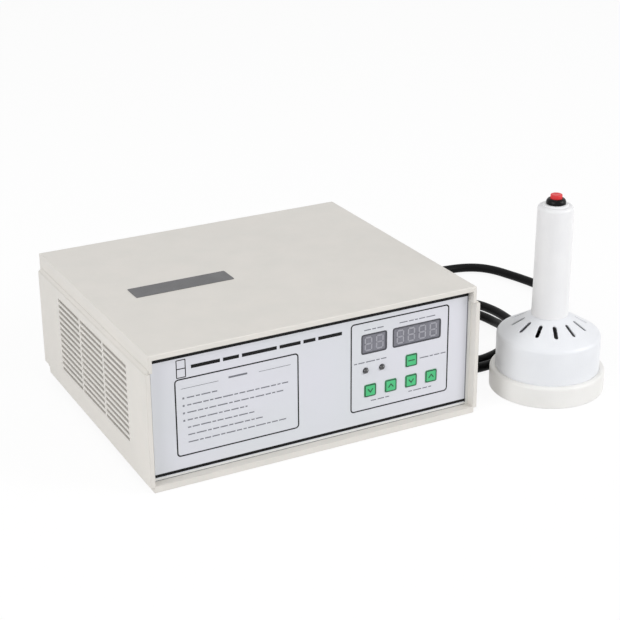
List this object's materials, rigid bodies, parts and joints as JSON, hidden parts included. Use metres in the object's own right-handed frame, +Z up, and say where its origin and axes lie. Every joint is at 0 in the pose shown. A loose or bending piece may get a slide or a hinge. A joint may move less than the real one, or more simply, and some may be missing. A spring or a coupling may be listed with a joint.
{
  "type": "induction cap sealer",
  "caption": "Hand-held induction cap sealer: a cream desktop power unit with louvred sides and a recessed control panel, and a white sealing head on a handle, joined by a cable.",
  "frame": {"origin": "on the table, under the middle of the footprint of the case and the sealing head, without the cable", "axes": "+Z up, -Y towards the user who faces the control panel, +X to the user's right, towards the head"},
  "size_m": [0.5258, 0.368, 0.1818],
  "materials": {
    "case_plastic": "cream moulded plastic, fine matt grain",
    "panel_plastic": "pale grey plate",
    "overlay_film": "silver-grey printed film",
    "label": "dark grey label plate, bare",
    "display_window": "smoked window",
    "display_segment": "unlit light guides",
    "lamp_lens": "clear-grey lamp lens",
    "key_cap": "green key",
    "circuit_board": "green laminate",
    "black_plastic": "black moulding",
    "brass": "plain brass",
    "steel": "zinc-plated steel",
    "rocker_red": "red rocker",
    "button_red": "red push button",
    "foot_rubber": "black rubber",
    "cable_rubber": "black rubber sheath",
    "heat_sink_metal": "extruded aluminium",
    "capacitor_sleeve": "dark blue sleeve",
    "film_capacitor": "beige box",
    "ferrite": "dark grey ferrite",
    "copper_winding": "enamelled copper",
    "head_rim": "warm white moulding",
    "head_shell": "white moulding",
    "sealing_face": "heat-proof board"
  },
  "bodies": {
    "unit": {"lower_case": "case_plastic", "top_cover": "case_plastic", "rear_panel": "case_plastic", "front_panel": "panel_plastic", "front_overlay": "overlay_film", "top_label": "label", "time_display": "display_window", "counter_display": "display_window", "time_digits": "display_segment", "counter_digits": "display_segment", "indicator_lamps": "lamp_lens", "control_board": "circuit_board", "power_board": "circuit_board", "tact_switches": "black_plastic", "fan_frame": "black_plastic", "mains_inlet": "black_plastic", "switch_frame": "black_plastic", "fuse_holder": "black_plastic", "fuse_cap": "black_plastic", "case_gland": "black_plastic", "head_gland": "black_plastic", "power_transistors": "black_plastic", "bridge_rectifier": "black_plastic", "button_bezel": "black_plastic", "button_switch": "black_plastic", "control_spacers": "brass", "board_spacers": "brass", "foot_screws": "steel", "case_screws": "steel", "control_screws": "steel", "fan_guard": "steel", "fan_screws": "steel", "inlet_blades": "steel", "board_screws": "steel", "base_screws": "steel", "handle_nut": "steel", "button_nut": "steel", "rubber_feet": "foot_rubber", "head_cable": "cable_rubber", "heat_sink": "heat_sink_metal", "bus_capacitor": "capacitor_sleeve", "resonant_capacitors": "film_capacitor", "transformer_core": "ferrite", "ferrite_bars": "ferrite", "transformer_winding": "copper_winding", "filter_choke": "copper_winding", "induction_coil": "copper_winding", "base_ring": "head_rim", "bell_housing": "head_shell", "handle": "head_shell", "sealing_plate": "sealing_face", "coil_former": "sealing_face"},
    "button": {"button_cap": "button_red"},
    "key_reset": {"reset_key": "key_cap"},
    "key_time_down": {"time_down_key": "key_cap"},
    "key_time_up": {"time_up_key": "key_cap"},
    "key_power_down": {"power_down_key": "key_cap"},
    "key_power_up": {"power_up_key": "key_cap"},
    "rotor": {"fan_rotor": "black_plastic"},
    "rocker": {"switch_rocker": "rocker_red"}
  },
  "joints": [
    {"name": "button_press", "type": "slide", "parent": "unit", "child": "button", "axis": [0, 0, -1], "range_m": [0, 0.003], "stiffness_N_per_m": 600},
    {"name": "reset_press", "type": "slide", "parent": "unit", "child": "key_reset", "axis": [0, 1, 0], "range_m": [0, 0.0005], "stiffness_N_per_m": 2000},
    {"name": "time_down_press", "type": "slide", "parent": "unit", "child": "key_time_down", "axis": [0, 1, 0], "range_m": [0, 0.0005], "stiffness_N_per_m": 2000},
    {"name": "time_up_press", "type": "slide", "parent": "unit", "child": "key_time_up", "axis": [0, 1, 0], "range_m": [0, 0.0005], "stiffness_N_per_m": 2000},
    {"name": "power_down_press", "type": "slide", "parent": "unit", "child": "key_power_down", "axis": [0, 1, 0], "range_m": [0, 0.0005], "stiffness_N_per_m": 2000},
    {"name": "power_up_press", "type": "slide", "parent": "unit", "child": "key_power_up", "axis": [0, 1, 0], "range_m": [0, 0.0005], "stiffness_N_per_m": 2000},
    {"name": "fan_spin", "type": "hinge", "parent": "unit", "child": "rotor", "pos_m": [-0.1541, 0.12375, 0.064], "axis": [0, 1, 0], "continuous": true},
    {"name": "rocker_tilt", "type": "hinge", "parent": "unit", "child": "rocker", "pos_m": [-0.0511, 0.13675, 0.042], "axis": [-1, 0, 0], "range_deg": [0, 14]}
  ]
}
